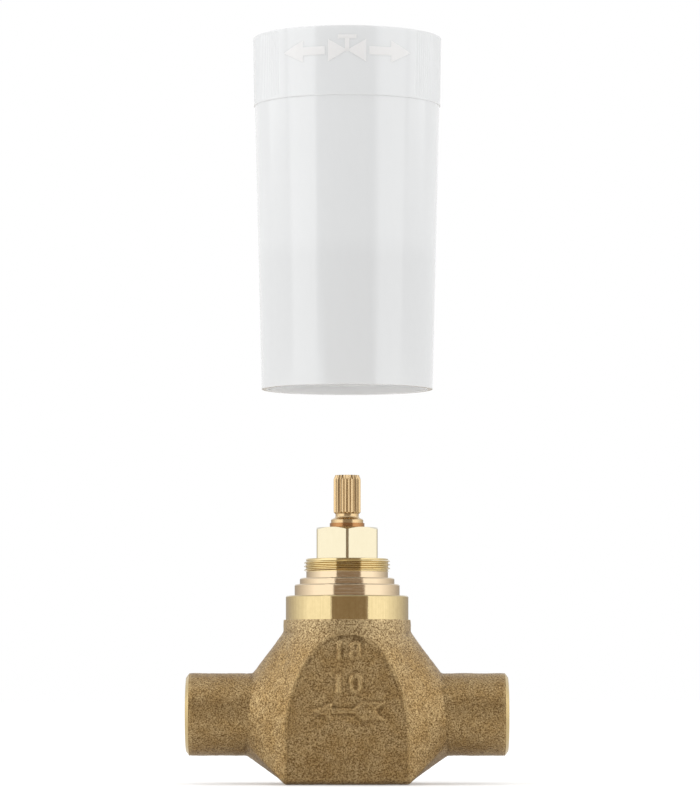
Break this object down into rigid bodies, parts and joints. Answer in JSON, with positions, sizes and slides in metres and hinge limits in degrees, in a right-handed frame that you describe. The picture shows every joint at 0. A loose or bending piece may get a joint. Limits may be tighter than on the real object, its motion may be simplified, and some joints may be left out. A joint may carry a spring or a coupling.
{
  "type": "concealed shower valve body",
  "caption": "Concealed in-wall shower valve body: cast brass with solder sockets, a turned threaded nose, a ceramic headpart with splined spindle, and its white plaster sleeve lifted off.",
  "frame": {"origin": "middle of the casting's flat base", "axes": "+X along the sockets towards the inlet, +Z along the spindle towards its spline, -Y towards the panel with the flow mark"},
  "size_m": [0.0896, 0.053, 0.2086],
  "materials": {
    "cast_brass": "rough sand cast, turned bright at the nose and the socket ends",
    "bright_brass": "turned and milled, polished",
    "bronze": "plain bronze",
    "white_plastic": "moulded, glossy, slightly translucent",
    "grey_plastic": "moulded, satin",
    "seal_rubber": "moulded, matt",
    "disc_ceramic": "lapped"
  },
  "bodies": {
    "valve": {"valve_body": "cast_brass", "headpart_housing": "bright_brass", "housing_gasket": "seal_rubber", "thrust_washer": "grey_plastic", "seat_gasket": "seal_rubber", "seal_support_ring": "grey_plastic", "lower_disc": "disc_ceramic"},
    "spindle": {"spindle": "bright_brass", "retaining_ring": "bronze", "spindle_o_ring_lower": "seal_rubber", "spindle_o_ring_upper": "seal_rubber", "upper_disc": "disc_ceramic"},
    "sleeve": {"plaster_sleeve": "white_plastic"}
  },
  "joints": [
    {"name": "spindle_turn", "type": "hinge", "parent": "valve", "child": "spindle", "pos_m": [0, 0, 0.0711], "axis": [0, 0, 1], "range_deg": [0, 90]},
    {"name": "sleeve_slide", "type": "slide", "parent": "valve", "child": "sleeve", "axis": [0, 0, 1], "range_m": [-0.0597, 0]}
  ]
}
